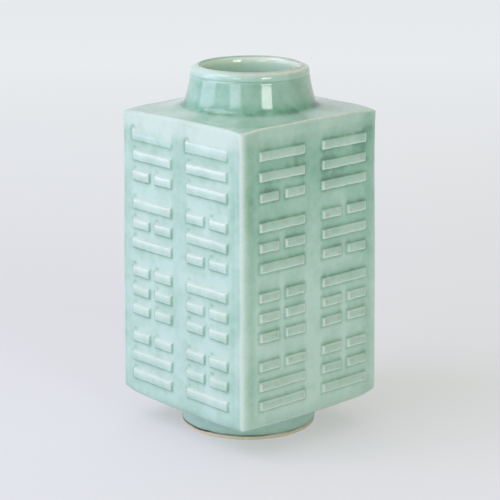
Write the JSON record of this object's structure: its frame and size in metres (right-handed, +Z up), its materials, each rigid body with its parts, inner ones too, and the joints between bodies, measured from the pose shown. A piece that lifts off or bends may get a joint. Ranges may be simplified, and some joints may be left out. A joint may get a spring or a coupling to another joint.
{
  "type": "cong vase",
  "caption": "Square celadon vase of the cong form, with trigrams in relief on its faces, a shoulder swept up to a short round neck, and a foot ring.",
  "frame": {"origin": "centre of the foot ring's underside, on the vase's upright axis", "axes": "+Z up along the neck's axis, +X towards the right wall, -Y towards the front wall"},
  "size_m": [0.1406, 0.1406, 0.2795],
  "materials": {
    "celadon_glaze": "glossy pale green celadon glaze, darker where it pools and paler on edges",
    "relief_glaze": "glossy celadon glaze, thin and pale over the strips' edges",
    "foot_glaze": "celadon glaze that stops short of a bare tan clay edge",
    "inner_glaze": "greener celadon glaze inside and under the base"
  },
  "bodies": {
    "root": {"front_wall": "celadon_glaze", "right_wall": "celadon_glaze", "back_wall": "celadon_glaze", "left_wall": "celadon_glaze", "base_slab": "inner_glaze", "shoulder_slab": "celadon_glaze", "neck": "celadon_glaze", "foot_ring": "foot_glaze", "front_right_corner_coil": "inner_glaze", "back_right_corner_coil": "inner_glaze", "back_left_corner_coil": "inner_glaze", "front_left_corner_coil": "inner_glaze", "base_coil": "inner_glaze", "shoulder_coil": "inner_glaze", "front_wind_trigram": "relief_glaze", "front_fire_trigram": "relief_glaze", "front_earth_trigram": "relief_glaze", "front_lake_trigram": "relief_glaze", "front_heaven_trigram": "relief_glaze", "front_water_trigram": "relief_glaze", "front_mountain_trigram": "relief_glaze", "front_thunder_trigram": "relief_glaze", "right_wind_trigram": "relief_glaze", "right_fire_trigram": "relief_glaze", "right_earth_trigram": "relief_glaze", "right_lake_trigram": "relief_glaze", "right_heaven_trigram": "relief_glaze", "right_water_trigram": "relief_glaze", "right_mountain_trigram": "relief_glaze", "right_thunder_trigram": "relief_glaze", "back_wind_trigram": "relief_glaze", "back_fire_trigram": "relief_glaze", "back_earth_trigram": "relief_glaze", "back_lake_trigram": "relief_glaze", "back_heaven_trigram": "relief_glaze", "back_water_trigram": "relief_glaze", "back_mountain_trigram": "relief_glaze", "back_thunder_trigram": "relief_glaze", "left_wind_trigram": "relief_glaze", "left_fire_trigram": "relief_glaze", "left_earth_trigram": "relief_glaze", "left_lake_trigram": "relief_glaze", "left_heaven_trigram": "relief_glaze", "left_water_trigram": "relief_glaze", "left_mountain_trigram": "relief_glaze", "left_thunder_trigram": "relief_glaze"}
  },
  "joints": []
}
